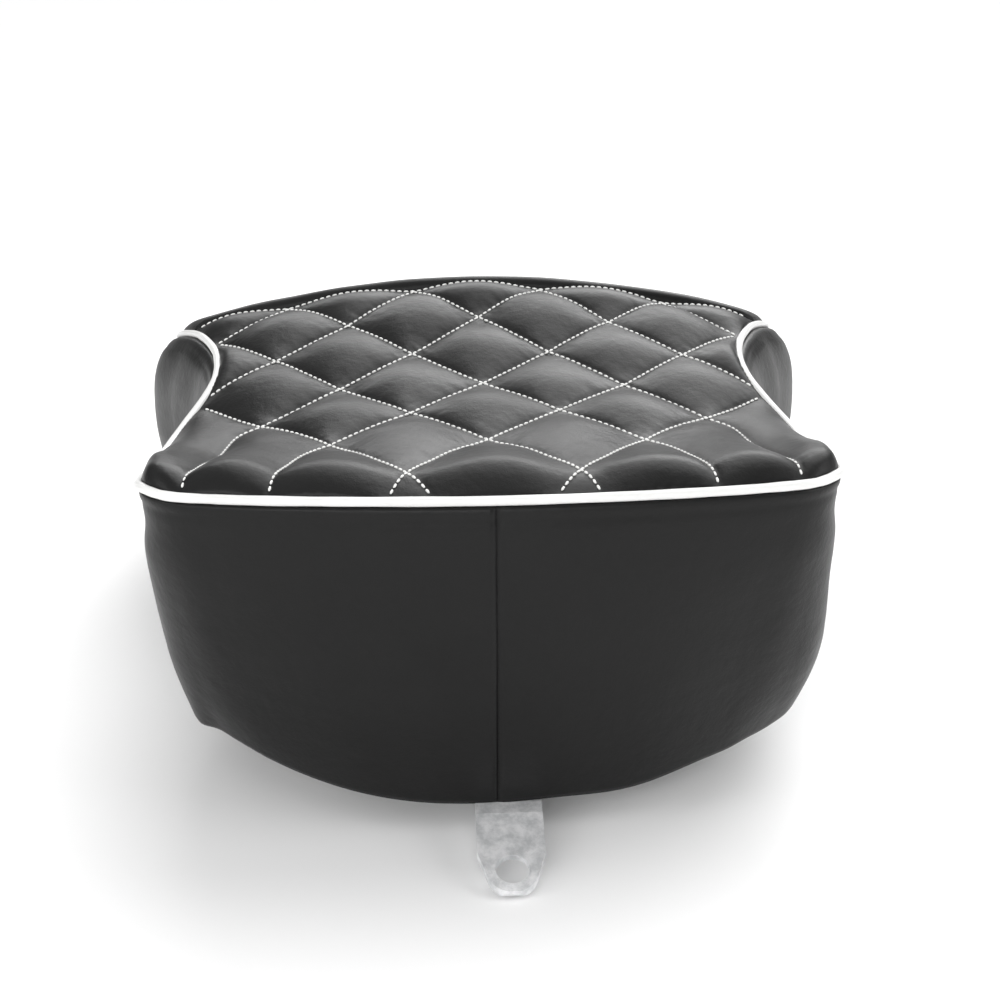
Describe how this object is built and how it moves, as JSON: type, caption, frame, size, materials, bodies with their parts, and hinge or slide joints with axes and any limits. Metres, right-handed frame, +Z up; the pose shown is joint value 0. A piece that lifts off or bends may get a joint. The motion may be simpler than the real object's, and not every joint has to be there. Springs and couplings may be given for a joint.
{
  "type": "motorcycle seat",
  "caption": "Two-up cruiser motorcycle seat with diamond-quilted black vinyl top, white piping, stepped passenger pillion, plastic pan and steel mounting tab.",
  "frame": {"origin": "on the plane of the rubber feet, under the middle of the overall length and width", "axes": "+Y towards the front of the motorcycle, +X to the rider's right, +Z up"},
  "size_m": [0.4386, 0.7706, 0.208],
  "materials": {
    "black_vinyl": "grained black upholstery vinyl, satin",
    "white_vinyl": "smooth white vinyl over a cord, satin",
    "sew_foam": "soft grey sew-foam with a woven scrim",
    "moulded_foam": "cream moulded polyurethane foam with a skin",
    "black_plastic": "fine-textured black moulded polypropylene",
    "zinc_steel": "bright zinc plating, slightly mottled",
    "black_rubber": "moulded black rubber, matt"
  },
  "bodies": {
    "root": {"passenger_top_cover": "black_vinyl", "rider_top_cover": "black_vinyl", "passenger_quilt_padding": "sew_foam", "rider_quilt_padding": "sew_foam", "piping": "white_vinyl", "left_side_cover": "black_vinyl", "right_side_cover": "black_vinyl", "seat_pan": "black_plastic", "passenger_foam": "moulded_foam", "rider_foam": "moulded_foam", "rear_mounting_tab": "zinc_steel", "rear_backing_plate": "zinc_steel", "rear_tab_bolt_1": "zinc_steel", "rear_tab_washer_1": "zinc_steel", "rear_tab_nut_1": "zinc_steel", "rear_tab_bolt_2": "zinc_steel", "rear_tab_washer_2": "zinc_steel", "rear_tab_nut_2": "zinc_steel", "front_tongue": "zinc_steel", "front_backing_plate": "zinc_steel", "tongue_rivet_1": "zinc_steel", "tongue_rivet_2": "zinc_steel", "tongue_rivet_3": "zinc_steel", "tongue_rivet_4": "zinc_steel", "bumper_1": "black_rubber", "bumper_2": "black_rubber", "bumper_3": "black_rubber", "bumper_4": "black_rubber", "bumper_5": "black_rubber", "bumper_6": "black_rubber"}
  },
  "joints": []
}
